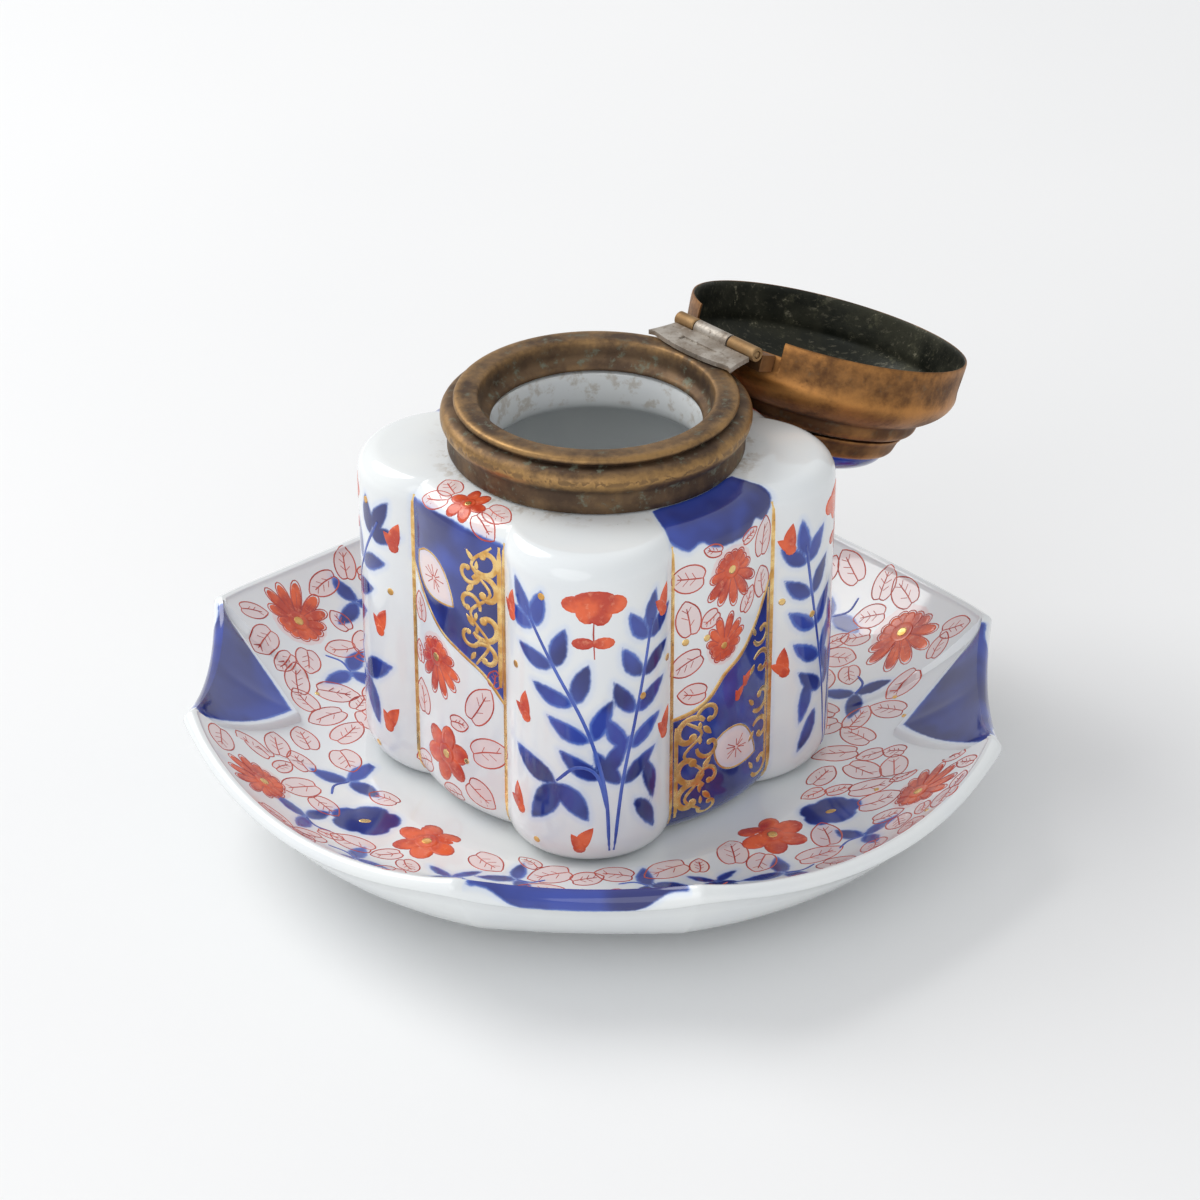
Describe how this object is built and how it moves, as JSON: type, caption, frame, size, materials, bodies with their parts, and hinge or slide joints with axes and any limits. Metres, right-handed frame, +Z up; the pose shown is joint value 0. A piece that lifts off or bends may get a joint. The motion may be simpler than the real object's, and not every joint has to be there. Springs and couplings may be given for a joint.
{
  "type": "inkwell",
  "caption": "Lobed porcelain inkwell with a brass collar and a hinged, porcelain-topped lid, standing loose on a saucer with folded-in corners.",
  "frame": {"origin": "on the table plane, at the centre of the saucer's foot ring and of its overall width", "axes": "+Z up; the well's lobes and the saucer's folded corners stand on the X and Y axes; the lid's hinge lies between +X and +Y"},
  "size_m": [0.1464, 0.1464, 0.0834],
  "materials": {
    "porcelain": "bluish-white clear-glazed porcelain, painted in cobalt, iron red and gold",
    "cobalt_porcelain": "porcelain under a glossy cobalt glaze",
    "patinated_brass": "spun and turned brass, browned with age, rubbed orange on its edges",
    "bright_brass": "rubbed brass tube and wire",
    "soldered_brass": "brass sheet greyed over with soft solder",
    "plaster": "dry off-white plaster"
  },
  "bodies": {
    "saucer": {"saucer": "porcelain"},
    "well": {"well_body": "porcelain", "collar_bed": "plaster", "collar": "patinated_brass", "collar_hinge_leaf": "soldered_brass", "hinge_pin": "bright_brass"},
    "lid": {"lid_shell": "patinated_brass", "lid_hinge_strip": "soldered_brass", "lid_knuckle_left": "bright_brass", "lid_knuckle_right": "bright_brass", "lid_bezel": "patinated_brass", "lid_bedding": "plaster", "lid_dome": "cobalt_porcelain"}
  },
  "joints": [
    {"name": "well_lift", "type": "slide", "parent": "saucer", "child": "well", "axis": [0, 0, 1], "range_m": [0, 0.04]},
    {"name": "lid_hinge", "type": "hinge", "parent": "well", "child": "lid", "pos_m": [0.02104, 0.02068, 0.082], "axis": [-0.7009, 0.7133, 0], "range_deg": [-199, 0]}
  ]
}
